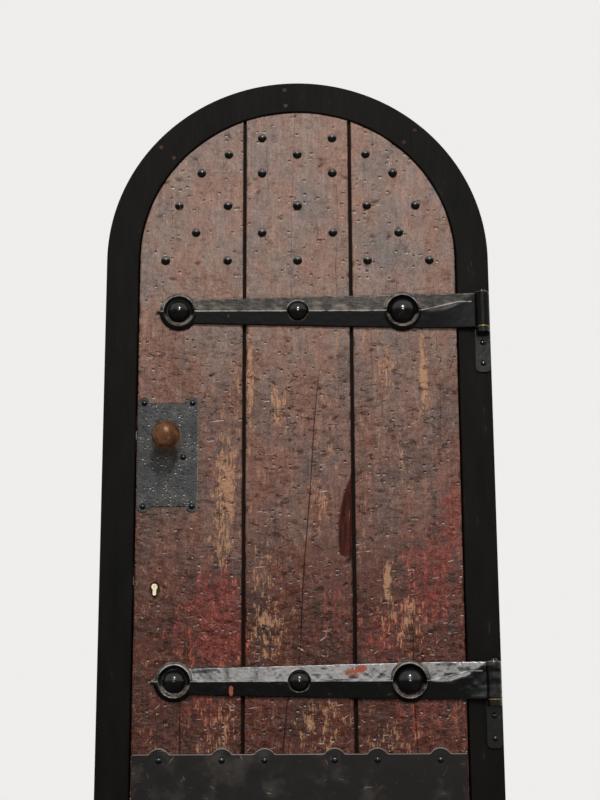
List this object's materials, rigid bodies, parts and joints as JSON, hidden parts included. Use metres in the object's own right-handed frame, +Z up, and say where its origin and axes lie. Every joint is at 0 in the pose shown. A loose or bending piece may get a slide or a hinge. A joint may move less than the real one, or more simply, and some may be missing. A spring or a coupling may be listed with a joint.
{
  "type": "arched plank door",
  "caption": "Arched plank door with forged strap hinges, domed studs, ball knob, deadlock and kick plate, hung in a rebated timber frame.",
  "frame": {"origin": "middle of the sill's underside, half way through the frame's depth", "axes": "+Z up, -Y out of the house (the face in the picture), +X towards the hinges"},
  "size_m": [1.128, 0.256, 2.305],
  "materials": {
    "frame_timber": "black-painted timber, satin and weathered",
    "sill_timber": "dark worn oak",
    "peg_wood": "painted oak pegs",
    "weathered_oak": "weathered red-brown oak, pitted and cracked, paler at the top",
    "dark_oak": "dark oak in the gaps",
    "inner_oak": "plain brown oak",
    "black_iron": "thick glossy black paint on forged iron",
    "kick_steel": "matt black, scuffed",
    "plate_iron": "slate-grey pitted iron",
    "bronze": "aged brown bronze",
    "brass": "plain brass",
    "lock_steel": "plain steel",
    "cylinder_metal": "worn nickel-plated brass"
  },
  "bodies": {
    "frame": {"left_jamb": "frame_timber", "right_jamb": "frame_timber", "sill": "sill_timber", "head_segment_1": "frame_timber", "head_segment_2": "frame_timber", "head_segment_3": "frame_timber", "head_segment_4": "frame_timber", "frame_pegs": "peg_wood", "frame_dowels": "peg_wood", "latch_strike": "lock_steel", "deadbolt_strike": "lock_steel", "strike_screws": "lock_steel", "pintle_upper": "black_iron", "pintle_lower": "black_iron", "pintle_screws": "black_iron", "eye_washers": "brass"},
    "knob": {"outer_knob": "bronze", "inner_knob": "bronze", "knob_spindle": "lock_steel", "latch_follower": "lock_steel"},
    "latch": {"latch_bolt": "brass"},
    "plug": {"cylinder_plug": "cylinder_metal"},
    "deadbolt": {"deadbolt": "lock_steel"},
    "leaf": {"plank_left": "weathered_oak", "plank_middle": "weathered_oak", "plank_right": "weathered_oak", "tongue_left": "dark_oak", "tongue_right": "dark_oak", "backing_board_1": "inner_oak", "backing_board_2": "inner_oak", "backing_board_3": "inner_oak", "ledge_upper": "inner_oak", "ledge_middle": "inner_oak", "ledge_lower": "inner_oak", "brace_upper": "inner_oak", "brace_lower": "inner_oak", "ledge_screws": "lock_steel", "studs": "black_iron", "strap_upper": "black_iron", "strap_lower": "black_iron", "left_boss_bolts": "black_iron", "middle_boss_bolts": "black_iron", "right_boss_bolts": "black_iron", "bolt_washers": "black_iron", "bolt_nuts": "black_iron", "kick_plate": "kick_steel", "kick_plate_rivets": "kick_steel", "lock_plate": "plate_iron", "lock_plate_rivets": "plate_iron", "outer_rose": "bronze", "inner_rose": "bronze", "latch_case": "lock_steel", "latch_fore_end": "lock_steel", "fore_end_screws": "lock_steel", "deadlock_case": "lock_steel", "deadlock_fore_end": "lock_steel", "lock_cylinder": "cylinder_metal", "cylinder_screw": "lock_steel"}
  },
  "joints": [
    {"name": "leaf_swing", "type": "hinge", "parent": "frame", "child": "leaf", "pos_m": [0.54, -0.08, 1], "axis": [0, 0, 1], "range_deg": [0, 105]},
    {"name": "knob_turn", "type": "hinge", "parent": "leaf", "child": "knob", "pos_m": [-0.376, -0.036, 1.192], "axis": [0, -1, 0], "range_deg": [0, 44.05]},
    {"name": "latch_slide", "type": "slide", "parent": "leaf", "child": "latch", "axis": [-1, 0, 0], "range_m": [0, 0.012]},
    {"name": "plug_turn", "type": "hinge", "parent": "leaf", "child": "plug", "pos_m": [-0.407, -0.036, 0.77], "axis": [0, -1, 0], "range_deg": [0, 360]},
    {"name": "deadbolt_slide", "type": "slide", "parent": "leaf", "child": "deadbolt", "axis": [-1, 0, 0], "range_m": [0, 0.02]}
  ],
  "couplings": [
    {"joint": "latch_slide", "follows": "knob_turn", "m_per_rad": 0.015609},
    {"joint": "plug_turn", "follows": "deadbolt_slide", "rad_per_m": 314.16}
  ]
}
